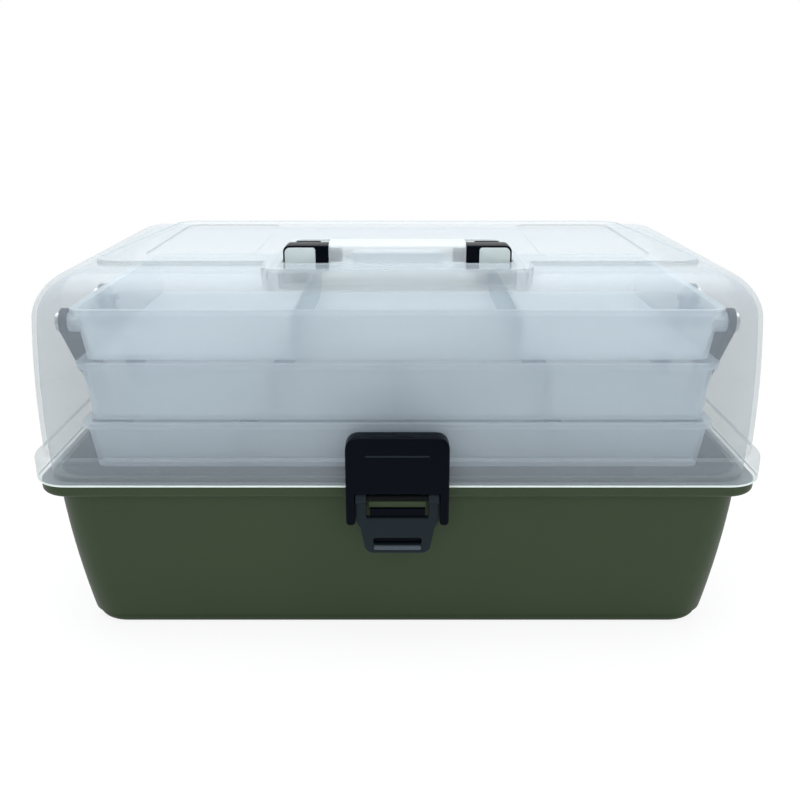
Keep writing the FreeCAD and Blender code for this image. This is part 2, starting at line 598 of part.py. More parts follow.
def makeTray(tray, dividers):
    """Open tray with drafted walls, a lip, divider guides and four bosses for the arm pins."""
    body = newBody("tray_" + tray)
    height = "(%s_rim - %s_bottom)" % (tray, tray)
    halfWide = "(tray_width / 2)"
    halfDeep = "(tray_depth / 2)"
    outer = [ring(body, halfWide + " - tray_draft", halfDeep + " - tray_draft", "tray_corner", "0"),
             ring(body, halfWide, halfDeep, "tray_corner", height)]
    loft(body, "AdditiveLoft", outer)
    lip = ring(body, halfWide + " + tray_lip", halfDeep + " + tray_lip / 2", "tray_corner + tray_lip / 2",
               height + " - tray_lip_height")
    pad(body, lip, "tray_lip_height")
    pivots(body, tray)
    inner = [ring(body, halfWide + " - tray_draft - tray_wall", halfDeep + " - tray_draft - tray_wall",
                  "tray_corner - tray_wall", "tray_floor"),
             ring(body, halfWide + " - tray_wall", halfDeep + " - tray_wall", "tray_corner - tray_wall",
                  height + " + 0.5")]
    loft(body, "SubtractiveLoft", inner)
    guides(body, height, dividers)
    bores(body, tray)
    body.setExpression(".Placement.Base.y", bind("tray_centre"))
    body.setExpression(".Placement.Base.z", bind("%s_bottom" % tray))
    return body


def localPivots(tray):
    """The two pivot places on a tray end, in the tray's own frame."""
    front = "(%s - tray_centre)" % pivotY(tray)
    return [front, "(%s + arm_spacing)" % front], "(%s - %s_bottom)" % (pivotLevel(tray), tray)


def pivots(body, tray):
    places, level = localPivots(tray)
    start = "(tray_width / 2 - tray_draft - tray_wall)"
    boss = sketchOn(body, "YZ", start)
    for y in places:
        disc(boss, y, level, "boss_radius")
    features = [pad(body, boss, "arm_inner - boss_gap - %s" % start)]
    if tray == "middle":
        stud = sketchOn(body, "YZ", start)
        disc(stud, "link_tray_y - tray_centre", "link_tray_level - middle_bottom", "boss_radius")
        features.append(pad(body, stud, "link_inner - boss_gap - %s" % start))
    mirrored(body, features)


def bores(body, tray):
    places, level = localPivots(tray)
    holes = sketchOn(body, "YZ", "arm_inner")
    for y in places:
        disc(holes, y, level, "pivot_radius + running_gap")
    features = [pocket(body, holes, "arm_inner - %s + 0.5" % pinTip)]
    if tray == "middle":
        hole = sketchOn(body, "YZ", "link_inner")
        disc(hole, "link_tray_y - tray_centre", "link_tray_level - middle_bottom", "stud_radius + running_gap")
        features.append(pocket(body, hole, "link_inner - %s + 0.5" % pinTip))
    mirrored(body, features)


def guides(body, height, dividers):
    """Pairs of upright ribs on the long walls, with a slot between them for each divider."""
    foot, top = "(tray_floor - 0.5)", "(%s - divider_drop)" % height
    inside = "(tray_depth / 2 - tray_draft - tray_wall - guide_rib)"
    low = "(tray_depth / 2 - tray_draft - tray_wall / 2)"
    high = "(tray_depth / 2 - tray_wall / 2 - tray_draft * divider_drop / %s)" % height
    for place in dividers:
        for start in ("divider_thick / 2 + divider_gap", "-divider_thick / 2 - divider_gap - guide_rib"):
            ribs = sketchOn(body, "YZ", "%s + (%s)" % (place, start))
            for sign in (1, -1):
                polygon(ribs, [("%d * %s" % (sign, across), level) for across, level in
                               ((low, foot), (high, top), (inside, top), (inside, foot))])
            pad(body, ribs, "guide_rib")


def makeDivider(tray, number, place):
    """Removable plate that stands in a pair of guides."""
    body = newBody("divider_%s_%d" % (tray, number))
    height = "(%s_rim - %s_bottom)" % (tray, tray)
    low = "(tray_depth / 2 - tray_draft - tray_wall - divider_gap)"
    high = "(tray_depth / 2 - tray_wall - divider_gap - tray_draft / 4)"
    plate = sketchOn(body, "YZ", "%s - divider_thick / 2" % place)
    polygon(plate, [("-" + low, "tray_floor + divider_gap"), (low, "tray_floor + divider_gap"),
                    (high, height + " - divider_drop"), ("-" + high, height + " - divider_drop")])
    plate = pad(body, plate, "divider_thick")
    top = value(height + " - divider_drop")
    fillet(body, plate, "tray_corner / 3", lambda box, edge: flatAt(box, top) and box.YLength < 0.1)
    body.setExpression(".Placement.Base.y", bind("tray_centre"))
    body.setExpression(".Placement.Base.z", bind("%s_bottom" % tray))
    return body


# ---- arms, links and pins --------------------------------------------------------------------------

def makeArm(label, side, shift):
    """Ribbed flat arm from the base pivot to the top tray, with a bore at each pivot."""
    body = newBody(label)
    start = "arm_inner" if side > 0 else "-arm_inner - arm_thick"
    outside = "arm_inner + arm_thick" if side > 0 else "-arm_inner - arm_thick"
    topY = "%s + %s" % (pivotY("upper"), shift)
    baseY = "base_pivot_y + " + shift
    plate = sketchOn(body, "YZ", start)
    strap(plate, topY, pivotLevel("upper"), baseY, "base_pivot_level", "arm_radius")
    pad(body, plate, "arm_thick")
    for low, high in (("lower", "middle"), ("middle", "upper")):
        panel = sketchOn(body, "YZ", outside)
        clear = "0.3"
        lowY, lowZ, highY, highZ = pivotY(low), pivotLevel(low), pivotY(high), pivotLevel(high)
        strap(panel, "%s + (%s - %s) * (1 - %s) + %s" % (lowY, highY, lowY, clear, shift),
              "%s + (%s - %s) * (1 - %s)" % (lowZ, highZ, lowZ, clear),
              "%s + (%s - %s) * %s + %s" % (lowY, highY, lowY, clear, shift),
              "%s + (%s - %s) * %s" % (lowZ, highZ, lowZ, clear), "arm_radius - arm_rib")
        pocket(body, panel, "arm_sink", reverse=side < 0)
    holes = sketchOn(body, "YZ", outside)
    disc(holes, baseY, "base_pivot_level", "pivot_radius + running_gap")
    for tray in ("lower", "middle", "upper"):
        disc(holes, "%s + %s" % (pivotY(tray), shift), pivotLevel(tray), "pivot_radius + running_gap")
    pocket(body, holes, "arm_thick", reverse=side < 0)
    return body


def makeLink(label, side):
    """Flat link from the lid to the middle tray; its tray eye is wide enough for the stud's small play."""
    body = newBody(label)
    start = "link_inner" if side > 0 else "-link_inner - link_thick"
    plate = sketchOn(body, "YZ", start)
    strap(plate, "link_lid_y", "link_lid_level", "link_tray_y", "link_tray_level", "link_radius")
    pad(body, plate, "link_thick")
    holes = sketchOn(body, "YZ", start)
    disc(holes, "link_lid_y", "link_lid_level", "pivot_radius + running_gap")
    disc(holes, "link_tray_y", "link_tray_level", "stud_radius + link_eye_play")
    pocket(body, holes, "link_thick", reverse=True)
    return body


def rodAlongX(name, start, end, y, level, radius, side=1):
    """Round rod between two distances from the middle plane, on one side of it."""
    piece = document.addObject("Part::Cylinder", name)
    piece.Placement.Rotation = FreeCAD.Rotation(Vector(0, 1, 0), 90 * side)
    piece.setExpression("Radius", bind(radius))
    piece.setExpression("Height", bind("%s - (%s)" % (end, start)))
    piece.setExpression(".Placement.Base.x", bind("%d * (%s)" % (side, start)))
    piece.setExpression(".Placement.Base.y", bind(y))
    piece.setExpression(".Placement.Base.z", bind(level))
    return piece


def group(label, pieces):
    compound = document.addObject("Part::Compound", label)
    compound.Label = label
    compound.Links = pieces
    document.recompute()
    return compound


def headedPins(label, tip, face, head, places, radius, headRadius):
    """Pins on both sides of the box: shank from tip to face, head from face on by a signed thickness."""
    pins = []
    for y, level in places:
        for side in (1, -1):
            pin = document.addObject("Part::Fuse", "Pin")
            ends = sorted([tip, face], key=value)
            pin.Base = rodAlongX("Shank", ends[0], ends[1], y, level, radius, side)
            ends = sorted([face, "%s + %s" % (face, head)], key=value)
            pin.Tool = rodAlongX("Head", ends[0], ends[1], y, level, headRadius, side)
            pins.append(pin)
    return group(label, pins)


def makePins():
    """Headed pivot pins in the base, the trays and the lid links."""
    armOutside = "(arm_inner + arm_thick)"
    bossFace = "(%s + boss_gap)" % armOutside
    linkFace = "(link_inner + link_thick + boss_gap)"
    baseTip = "(%s + (%s - %s) * boss_bore - pin_end_gap)" % (bossFace, baseBossEnd, bossFace)
    lidTip = "(%s + (%s - %s) * boss_bore - pin_end_gap)" % (linkFace, lidBossEnd, linkFace)
    groups = [headedPins("base_pivot_pins", baseTip, "(arm_inner - boss_gap)", "-pin_head",
                         [(y, "base_pivot_level") for y in ("base_pivot_y", "base_pivot_y + arm_spacing")],
                         "pivot_radius", "pin_head_radius")]
    for tray in ("lower", "middle", "upper"):
        groups.append(headedPins("tray_pins_" + tray, pinTip, bossFace, "pin_head",
                                 [(pivotY(tray), pivotLevel(tray)),
                                  (pivotY(tray) + " + arm_spacing", pivotLevel(tray))],
                                 "pivot_radius", "pin_head_radius"))
    groups.append(headedPins("link_studs", pinTip, linkFace, "pin_head", [("link_tray_y", "link_tray_level")],
                             "stud_radius", "stud_radius + link_eye_play * 2"))
    groups.append(headedPins("link_pins", lidTip, "(link_inner - boss_gap)", "-pin_head * 0.35",
                             [("link_lid_y", "link_lid_level")], "pivot_radius", "pin_head_radius"))
    return groups


def makeRods():
    """Plain rods: the latch pin, the two hinge pins and the two handle pins."""
    latchPin = rodAlongX("latch_pin", "-bracket_width / 2", "bracket_width / 2", "-latch_axis_front",
                         "latch_axis_level", "latch_pin_radius")
    half = "(lid_knuckle / 2 + base_knuckle + knuckle_gap)"
    hinge = [rodAlongX("HingeRod", "hinge_spread - " + half, "hinge_spread + " + half, "hinge_back",
                       "hinge_level", "hinge_pin_radius", side) for side in (1, -1)]
    handle = [rodAlongX("HandleRod", "recess_width / 2 - handle_gap - handle_barrel_radius",
                        "recess_width / 2 + shell_wall", "-handle_axis_back", "handle_axis_level",
                        "handle_pin_radius", side) for side in (1, -1)]
    return [latchPin, group("hinge_pins", hinge), group("handle_pins", handle)]


# ---- the whole box ---------------------------------------------------------------------------------

# Divider places along X in each tray
dividerPlaces = {
    "lower": ["-0.26 * tray_width", "0.02 * tray_width", "0.27 * tray_width"],
    "middle": ["-0.2 * tray_width", "0 * tray_width", "0.24 * tray_width"],
    "upper": ["-0.16 * tray_width", "0.19 * tray_width"],
}

subParts = [makeBase(), makeLid(), makeBracket(), makeLatchLever(), makeGrip(),
            makeHandleArm("handle_arm_left", -1), makeHandleArm("handle_arm_right", 1)]
for trayName, places in dividerPlaces.items():
    subParts.append(makeTray(trayName, places))
    for number, place in enumerate(places, start=1):
        subParts.append(makeDivider(trayName, number, place))
for label, side in (("left", -1), ("right", 1)):
    subParts.append(makeArm("front_arm_" + label, side, "0"))
    subParts.append(makeArm("rear_arm_" + label, side, "arm_spacing"))
    subParts.append(makeLink("lid_link_" + label, side))
subParts += makePins()
subParts += makeRods()
document.recompute()

for item in document.Objects:
    if "Invalid" in item.State or "Error" in item.State:
        raise RuntimeError("%s is not built: %s" % (item.Label, item.State))
for part in subParts:
    if part.Shape.isNull() or not part.Shape.isValid():
        raise RuntimeError("%s has no valid shape" % part.Label)

os.makedirs("parts", exist_ok=True)
for part in subParts:
    part.Shape.exportStep("parts/%s.step" % part.Label)
    print(part.Label, len(part.Shape.Solids), "solid(s)", round(part.Shape.Volume), "mm3")
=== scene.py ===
import json
import math
import bpy
import bmesh
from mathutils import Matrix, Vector


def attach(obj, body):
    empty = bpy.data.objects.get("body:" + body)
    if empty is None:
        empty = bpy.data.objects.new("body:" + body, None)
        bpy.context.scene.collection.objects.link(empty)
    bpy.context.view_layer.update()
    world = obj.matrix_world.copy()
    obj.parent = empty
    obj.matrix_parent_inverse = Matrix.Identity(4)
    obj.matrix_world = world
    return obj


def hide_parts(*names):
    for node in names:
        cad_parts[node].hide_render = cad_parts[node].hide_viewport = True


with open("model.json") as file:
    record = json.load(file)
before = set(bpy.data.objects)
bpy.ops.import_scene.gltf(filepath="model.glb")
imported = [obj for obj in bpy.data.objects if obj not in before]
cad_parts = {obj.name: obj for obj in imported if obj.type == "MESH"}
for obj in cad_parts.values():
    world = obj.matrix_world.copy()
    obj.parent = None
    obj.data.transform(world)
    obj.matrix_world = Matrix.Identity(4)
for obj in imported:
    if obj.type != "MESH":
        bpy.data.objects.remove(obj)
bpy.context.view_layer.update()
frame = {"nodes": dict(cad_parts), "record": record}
nodes = frame["nodes"]
print("frame loaded:", len(nodes), "nodes")

mm = 0.001


# linear light from an sRGB hex code
def linearColour(hexCode):
    channels = [int(hexCode[place:place + 2], 16) / 255 for place in (1, 3, 5)]
    return [c / 12.92 if c <= 0.04045 else ((c + 0.055) / 1.055) ** 2.4 for c in channels] + [1]


def addNode(material, kind, settings=None, links=None):
    node = material.node_tree.nodes.new(kind)
    for key, setting in (settings or {}).items():
        if isinstance(key, str) and hasattr(node, key):
            setattr(node, key, setting)
        else:
            node.inputs[key].default_value = setting
    for key, source in (links or {}).items():
        material.node_tree.links.new(source, node.inputs[key])
    return node


def newMaterial(name):
    material = bpy.data.materials.new(name)
    material.use_nodes = True
    material.node_tree.nodes.clear()
    return material


def finishMaterial(material, shader):
    addNode(material, "ShaderNodeOutputMaterial", links={"Surface": shader})
    return material


# a noise texture of scale s repeats about every 1/s metres
def grainScale(millimetres):
    return 1 / (millimetres * mm)


# colour sockets of a Mix node are numbered: 6 and 7 are the two colours, output 2 is the result
def mixColours(material, first, second, share):
    mix = addNode(material, "ShaderNodeMix",
                  {"data_type": "RGBA", 6: linearColour(first), 7: linearColour(second)}, {0: share})
    return mix.outputs[2]


def addBump(material, strength, depth, grain):
    bump = addNode(material, "ShaderNodeBump", {"Strength": strength, "Distance": depth * mm},
                   {"Height": grain.outputs["Fac"]})
    return bump.outputs[0]


roughnessSpread = {"smoother": 0.04, "rougher": 0.06}  # how far the grain moves the roughness each way


# opaque moulded plastic: a little colour drift, a spark-eroded grain and a satin or glossy skin
def mouldedPlastic(name, look):
    material = newMaterial(name)
    place = addNode(material, "ShaderNodeTexCoord").outputs["Object"]
    drift = addNode(material, "ShaderNodeTexNoise", {"Scale": grainScale(look["driftSize"]), "Detail": 2.0},
                    {"Vector": place})
    colour = mixColours(material, look["colour"], look["driftColour"], drift.outputs["Fac"])
    grain = addNode(material, "ShaderNodeTexNoise", {"Scale": grainScale(look["grainSize"]), "Detail": 3.0},
                    {"Vector": place})
    smoothest = look["roughness"] - roughnessSpread["smoother"]
    roughest = look["roughness"] + roughnessSpread["rougher"]
    rough = addNode(material, "ShaderNodeMapRange", {"To Min": smoothest, "To Max": roughest},
                    {"Value": grain.outputs["Fac"]})
    bump = addBump(material, look["grainStrength"], look["grainDepth"], grain)
    shader = addNode(material, "ShaderNodeBsdfPrincipled",
                     {"IOR": look["ior"], "Specular IOR Level": look["gloss"]},
                     {"Base Color": colour, "Roughness": rough.outputs[0], "Normal": bump})
    return finishMaterial(material, shader.outputs[0])


cloudiness = 0.08  # how far the milk drifts either way, as a share of itself
clearGrainStrength = 0.08


# frosted see-through polypropylene: each face adds some bluish milk over what is behind it, and more of it
# where the face is seen at a slant
def clearPlastic(name, look):
    material = newMaterial(name)
    place = addNode(material, "ShaderNodeTexCoord").outputs["Object"]
    cloud = addNode(material, "ShaderNodeTexNoise", {"Scale": grainScale(look["cloudSize"]), "Detail": 2.0},
                    {"Vector": place})
    milk = addNode(material, "ShaderNodeMapRange",
                   {"To Min": look["milk"] * (1 - cloudiness), "To Max": look["milk"] * (1 + cloudiness)},
                   {"Value": cloud.outputs["Fac"]})
    glance = addNode(material, "ShaderNodeLayerWeight", {"Blend": look["glanceBlend"]})
    share = addNode(material, "ShaderNodeMath",
                    {"operation": "MULTIPLY_ADD", "use_clamp": True, 1: look["glanceMilk"]},
                    {0: glance.outputs["Facing"], 2: milk.outputs[0]})
    grain = addNode(material, "ShaderNodeTexNoise", {"Scale": grainScale(look["grainSize"]), "Detail": 2.0},
                    {"Vector": place})
    bump = addBump(material, clearGrainStrength, look["grainDepth"], grain)
    milkColour = mixColours(material, look["colour"], look["glanceColour"], glance.outputs["Facing"])
    through = addNode(material, "ShaderNodeBsdfTransparent", {"Color": linearColour(look["passColour"])})
    skin = addNode(material, "ShaderNodeBsdfPrincipled", {"IOR": 1.49, "Roughness": look["roughness"]},
                   {"Base Color": milkColour, "Normal": bump})
    mix = addNode(material, "ShaderNodeMixShader",
                  links={0: share.outputs[0], 1: through.outputs[0], 2: skin.outputs[0]})
    return finishMaterial(material, mix.outputs[0])


wire = {"colour": "#B9BABC", "lineSize": 0.4, "lineStretch": 0.05, "smoothest": 0.22, "roughest": 0.4}


# plain drawn wire: bright, with fine lines along its length
def drawnSteel(name):
    material = newMaterial(name)
    place = addNode(material, "ShaderNodeTexCoord").outputs["Object"]
    stretch = addNode(material, "ShaderNodeMapping", {"Scale": (wire["lineStretch"], 1, 1)},
                      {"Vector": place})
    lines = addNode(material, "ShaderNodeTexNoise", {"Scale": grainScale(wire["lineSize"])},
                    {"Vector": stretch.outputs[0]})
    rough = addNode(material, "ShaderNodeMapRange",
                    {"To Min": wire["smoothest"], "To Max": wire["roughest"]},
                    {"Value": lines.outputs["Fac"]})
    shader = addNode(material, "ShaderNodeBsdfPrincipled",
                     {"Base Color": linearColour(wire["colour"]), "Metallic": 1.0},
                     {"Roughness": rough.outputs[0]})
    return finishMaterial(material, shader.outputs[0])


looks = {
    # satin polypropylene, spark-eroded mould: soft highlights, faint cloudiness
    "olive_plastic": mouldedPlastic("olive polypropylene", {
        "colour": "#313D2A", "driftColour": "#36422E", "driftSize": 60, "grainSize": 0.9, "grainDepth": 0.05,
        "grainStrength": 0.2, "roughness": 0.42, "ior": 1.49, "gloss": 0.14}),
    # random-copolymer polypropylene, frosted inside: bluish milk over whatever is behind it
    "clear_plastic": clearPlastic("frosted clear polypropylene", {
        "colour": "#BEC9D5", "glanceColour": "#A8B3B7", "passColour": "#FFFFFD", "milk": 0.16,
        "glanceMilk": 0.55, "glanceBlend": 0.22, "cloudSize": 40, "grainSize": 1.2, "grainDepth": 0.03,
        "roughness": 0.22}),
    "tray_plastic": clearPlastic("natural polypropylene", {
        "colour": "#C9D7E3", "glanceColour": "#BAC8D2", "passColour": "#FFFFFF", "milk": 0.34,
        "glanceMilk": 0.3, "glanceBlend": 0.25, "cloudSize": 40, "grainSize": 1.2, "grainDepth": 0.03,
        "roughness": 0.4}),
    # polished moulded ABS: near-black, with little shine
    "black_gloss": mouldedPlastic("black gloss ABS", {
        "colour": "#03070E", "driftColour": "#050A12", "driftSize": 30, "grainSize": 0.8, "grainDepth": 0.01,
        "grainStrength": 0.1, "roughness": 0.2, "ior": 1.5, "gloss": 0.04}),
    "dark_grey": mouldedPlastic("slate acetal", {
        "colour": "#192126", "driftColour": "#1D252A", "driftSize": 30, "grainSize": 0.6, "grainDepth": 0.03,
        "grainStrength": 0.15, "roughness": 0.38, "ior": 1.48, "gloss": 0.08}),
    # glass-filled nylon, matt
    "black_plastic": mouldedPlastic("black nylon", {
        "colour": "#0B1014", "driftColour": "#0F1418", "driftSize": 30, "grainSize": 0.6, "grainDepth": 0.03,
        "grainStrength": 0.2, "roughness": 0.45, "ior": 1.53, "gloss": 0.08}),
    "pin_steel": drawnSteel("drawn steel wire"),
}
# the pale patch on the handle blocks is a painted reflection of a soft box on their glossy black fronts
paintedReflection = mouldedPlastic("painted soft-box reflection", {
    "colour": "#B7C2C3", "driftColour": "#BFC9CA", "driftSize": 12, "grainSize": 0.5, "grainDepth": 0.02,
    "grainStrength": 0.2, "roughness": 0.3, "ior": 1.49, "gloss": 0.5})
# the flange ridge is pale and opaque: its colour is a painted highlight along the lid's flange edge
paintedEdgeHighlight = mouldedPlastic("painted flange edge highlight", {
    "colour": "#DDE8E2", "driftColour": "#E4EEE9", "driftSize": 50, "grainSize": 0.8, "grainDepth": 0.01,
    "grainStrength": 0.1, "roughness": 0.2, "ior": 1.49, "gloss": 0.5})

# the latch pin is painted near-black as painted shade under the cover, so that it doesn't shine there
pinPaintedShade = mouldedPlastic("steel pin in painted shade", {
    "colour": "#0C0E10", "driftColour": "#121416", "driftSize": 4, "grainSize": 0.3, "grainDepth": 0.01,
    "grainStrength": 0.3, "roughness": 0.4, "ior": 1.6, "gloss": 0.03})
# the pull lip is painted paler than the lever, as a painted highlight on the lip
lipPaintedHighlight = mouldedPlastic("slate acetal with painted highlight", {
    "colour": "#3E484E", "driftColour": "#464F56", "driftSize": 10, "grainSize": 0.6, "grainDepth": 0.02,
    "grainStrength": 0.15, "roughness": 0.35, "ior": 1.48, "gloss": 0.2})
# the grip is frosted all through, so it is whiter than the lid under it
frostedGrip = clearPlastic("frosted grip", {
    "colour": "#DCE4E9", "glanceColour": "#D2DBE0", "passColour": "#FFFFFF", "milk": 0.36, "glanceMilk": 0.3,
    "glanceBlend": 0.3, "cloudSize": 30, "grainSize": 1.2, "grainDepth": 0.03, "roughness": 0.3})

slotOfNode = {entry["node"]: entry["material_slot"] for entry in frame["record"]["subparts"]}
ownLook = {"latch_pin": pinPaintedShade, "handle_grip": frostedGrip}
for nodeName, node in nodes.items():
    for slot in node.material_slots:
        slot.material = ownLook.get(nodeName, looks[slotOfNode[nodeName]])
print("materials given to the CAD nodes")


# outline points go round in order; each corner has its own radius in mm
def roundedOutline(corners, steps=6):
    points = []
    for place, (x, z, radius) in enumerate(corners):
        corner = Vector((x, z))
        before = (Vector(corners[place - 1][:2]) - corner).normalized()
        after = (Vector(corners[(place + 1) % len(corners)][:2]) - corner).normalized()
        if radius == 0:
            points.append(corner)
            continue
        half = before.angle(after) / 2
        reach = radius / math.tan(half)
        centre = corner + (before + after).normalized() * (radius / math.sin(half))
        start, end = corner + before * reach - centre, corner + after * reach - centre
        turn = start.angle(end)
        for step in range(steps + 1):
            share = step / steps
            fromStart, fromEnd = math.sin((1 - share) * turn), math.sin(share * turn)
            points.append(centre + (start * fromStart + end * fromEnd) / math.sin(turn))
    return points


def rectangle(left, right, low, high):
    return [(left, low), (right, low), (right, high), (left, high)]


def roundedRectangle(left, right, low, high, radius, steps):
    return roundedOutline([(*corner, radius) for corner in rectangle(left, right, low, high)], steps)


# corners of an outline that is alike on both sides, from those of its right half
def bothSides(corners):
    return [(-x, *rest) for x, *rest in reversed(corners)] + corners


def disc(y, z, radius, points=28):
    turns = [2 * math.pi * place / points for place in range(points)]
    return [(y + radius * math.cos(turn), z + radius * math.sin(turn)) for turn in turns]


# solid between an outline in mm and its copy pushed along a vector
def pushOutline(shape, points, vector):
    face = shape.faces.new([shape.verts.new([part * mm for part in point]) for point in points])
    around = list(face.edges)
    pushed = bmesh.ops.extrude_face_region(shape, geom=[face])
    moved = [part for part in pushed["geom"] if isinstance(part, bmesh.types.BMVert)]
    bmesh.ops.translate(shape, verts=moved, vec=[part * mm for part in vector])
    return around, moved  # the edges of the first outline and the vertices of the pushed one


def roundEdges(shape, edges, width, segments):
    bmesh.ops.bevel(shape, geom=edges, offset=width * mm, segments=segments, profile=0.5, affect="EDGES",
                    material=-1)


# plate with its front towards -Y, standing on an XZ outline, its front edge rounded
def addPlate(shape, outline, front, back, edge=0.0, segments=4):
    around, _ = pushOutline(shape, [(x, -front, z) for x, z in outline], (0, front - back, 0))
    if edge:
        roundEdges(shape, around, edge, segments)


# bar along X with a YZ outline, rounded at its long edges and its right end
def addBar(shape, outline, left, right, edge=0.0, segments=3):
    _, moved = pushOutline(shape, [(left, y, z) for y, z in outline], (right - left, 0, 0))
    if edge:
        ends = dict.fromkeys(line for part in moved for line in part.link_edges)
        roundEdges(shape, list(ends), edge, segments)


# object of a shape whose faces are turned outwards
def toObject(name, shape):
    bmesh.ops.recalc_face_normals(shape, faces=shape.faces)
    if shape.calc_volume(signed=True) < 0:
        bmesh.ops.reverse_faces(shape, faces=shape.faces)
    mesh = bpy.data.meshes.new(name)
    shape.to_mesh(mesh)
    shape.free()
    thing = bpy.data.objects.new(name, mesh)
    bpy.context.scene.collection.objects.link(thing)
    return thing


# the first shape with the second cut out of it; both are plain closed solids
def carve(shape, tool):
    body, cutter = toObject("carvedBody", shape), toObject("carvingTool", tool)
    cut = body.modifiers.new("cut", "BOOLEAN")
    cut.operation, cut.object, cut.solver = "DIFFERENCE", cutter, "EXACT"
    carved = bmesh.new()
    carved.from_mesh(body.evaluated_get(bpy.context.evaluated_depsgraph_get()).data)
    for holder in (body, cutter):
        bpy.data.objects.remove(holder)
    return carved


sharpAngle = 32  # degrees; edges that turn more than this are shaded sharp


def finishPiece(name, shape, material, body, stands=()):
    piece = toObject(name, shape)
    piece.data.materials.append(material)
    piece.data.shade_smooth()
    piece.data.set_sharp_from_angle(angle=math.radians(sharpAngle))
    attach(piece, body)
    if stands:
        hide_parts(*stands)


# lengths in mm: fronts and backs count towards -Y; levels, tops and bottoms count up from the ground
cover = {"halfWidth": 26, "legInside": 21.4, "legBottom": 73.5, "faceBottom": 90.9, "top": 121.3,
         "corner": 6.5, "legCorner": 1.9, "innerCorner": 0.5, "front": 118.7, "back": 110, "edge": 1.2,
         "padHalf": 21.4, "padFront": 111, "padBack": 107, "padBottom": 105.8, "padTop": 118.3}


def makeLatchCover():
    shape = bmesh.new()
    wide, leg, foot, toe = (cover[key] for key in ("halfWidth", "legInside", "legBottom", "legCorner"))
    outline = bothSides([(leg, cover["faceBottom"], cover["innerCorner"]), (leg, foot, toe),
                         (wide, foot, toe), (wide, cover["top"], cover["corner"])])
    addPlate(shape, roundedOutline(outline), cover["front"], cover["back"], cover["edge"], segments=5)
    # the pad behind it, which sits on the lid wall over the flange
    pad = rectangle(-cover["padHalf"], cover["padHalf"], cover["padBottom"], cover["padTop"])
    addPlate(shape, pad, cover["padFront"], cover["padBack"])
    finishPiece("latchCover", shape, looks["black_gloss"], "lid", ["latch_bracket"])


coverLine = {"half": 16, "level": 111.6, "height": 0.9, "proud": 0.3, "sunk": 1, "corner": 0.4, "edge": 0.2}


# the faint moulded line across the cover's face, coloured in the lever's slate as a painted highlight on the
# black cover
def makeLatchCoverLine():
    shape = bmesh.new()
    half, level, up = coverLine["half"], coverLine["level"], coverLine["height"] / 2
    outline = roundedRectangle(-half, half, level - up, level + up, coverLine["corner"], steps=3)
    addPlate(shape, outline, cover["front"] + coverLine["proud"], cover["front"] - coverLine["sunk"],
             coverLine["edge"], segments=2)
    finishPiece("latchCoverLine", shape, looks["dark_grey"], "lid")


lever = {"half": 21, "ear": 5.2, "pinLevel": 88, "pinFront": 115.5, "earRadius": 3.24, "earEdge": 0.4,
         "panelTop": 77, "panelCorner": 1, "shoulder": 75.5, "waistHalf": 18.9, "waistLevel": 71.5,
         "waistCorner": 2, "bottomHalf": 16.2, "bottom": 57.2, "corner": 4.7, "front": 117.3, "thick": 3.6,
         "edge": 0.7}
fingerSlot = {"half": 12.4, "bottom": 62.3, "top": 66.2, "deep": 2.4, "corner": 1.2, "toolProud": 1,
              "shadeSheetShare": 0.99, "shadeSheetProud": 0.2, "shadeSheetSunk": 0.3}


def makeLatchLever():
    shape = bmesh.new()
    half, pin, bend = lever["half"], lever["pinLevel"], lever["waistCorner"]
    inner, top, corner = half - lever["ear"], lever["panelTop"], lever["panelCorner"]
    outside = bothSides([(lever["bottomHalf"], lever["bottom"], lever["corner"]),
                         (lever["waistHalf"], lever["waistLevel"], bend), (half, lever["shoulder"], bend),
                         (half, pin, 0)])
    betweenEars = [(inner, pin, 0), (inner, top, corner), (-inner, top, corner), (-inner, pin, 0)]
    addPlate(shape, roundedOutline(outside + betweenEars), lever["front"],
             lever["front"] - lever["thick"], lever["edge"])
    slot = bmesh.new()
    wide = fingerSlot["half"]
    outline = roundedRectangle(-wide, wide, fingerSlot["bottom"], fingerSlot["top"],
                               fingerSlot["corner"], steps=4)
    addPlate(slot, outline, lever["front"] + fingerSlot["toolProud"], lever["front"] - fingerSlot["deep"])
    shape = carve(shape, slot)
    for side in (-1, 1):
        addBar(shape, disc(-lever["pinFront"], pin, lever["earRadius"]),
               *sorted((side * inner, side * half)), lever["earEdge"])
    finishPiece("latchLever", shape, looks["dark_grey"], "latch", ["latch_lever"])


hook = {"half": 14, "back": 112.3, "top": 81.6, "frontBottom": 72.6, "backBottom": 74.8}


# hook bar that goes under the ledge, black like the cover as painted shade in the gap under the ledge, and a
# black sheet on the finger slot's floor as painted shade in the slot
def makeLatchHookAndSlotShade():
    shape = bmesh.new()
    front, back = -lever["pinFront"], -hook["back"]
    addBar(shape, [(front, hook["frontBottom"]), (front, hook["top"]), (back, hook["top"]),
                   (back, hook["backBottom"])], -hook["half"], hook["half"])
    # the black sheet on the slot's floor is painted shade in the slot
    half = fingerSlot["half"] * fingerSlot["shadeSheetShare"]
    deep = lever["front"] - fingerSlot["deep"]
    addPlate(shape, rectangle(-half, half, fingerSlot["bottom"], fingerSlot["top"]),
             deep + fingerSlot["shadeSheetProud"], deep - fingerSlot["shadeSheetSunk"])
    finishPiece("latchHookAndSlotShade", shape, looks["black_gloss"], "latch")


lip = {"half": 12.2, "bottom": 59.8, "top": 61.9, "proud": 1.4, "sunk": 1, "corner": 1, "edge": 0.6}


# pull lip under the finger slot, paler as a painted highlight
def makeLatchLip():
    shape = bmesh.new()
    outline = roundedRectangle(-lip["half"], lip["half"], lip["bottom"], lip["top"], lip["corner"], steps=4)
    addPlate(shape, outline, lever["front"] + lip["proud"], lever["front"] - lip["sunk"], lip["edge"],
             segments=3)
    finishPiece("latchLip", shape, lipPaintedHighlight, "latch")


ridgeRoundness = 3  # a ridge's section has four sides and two more for each of these


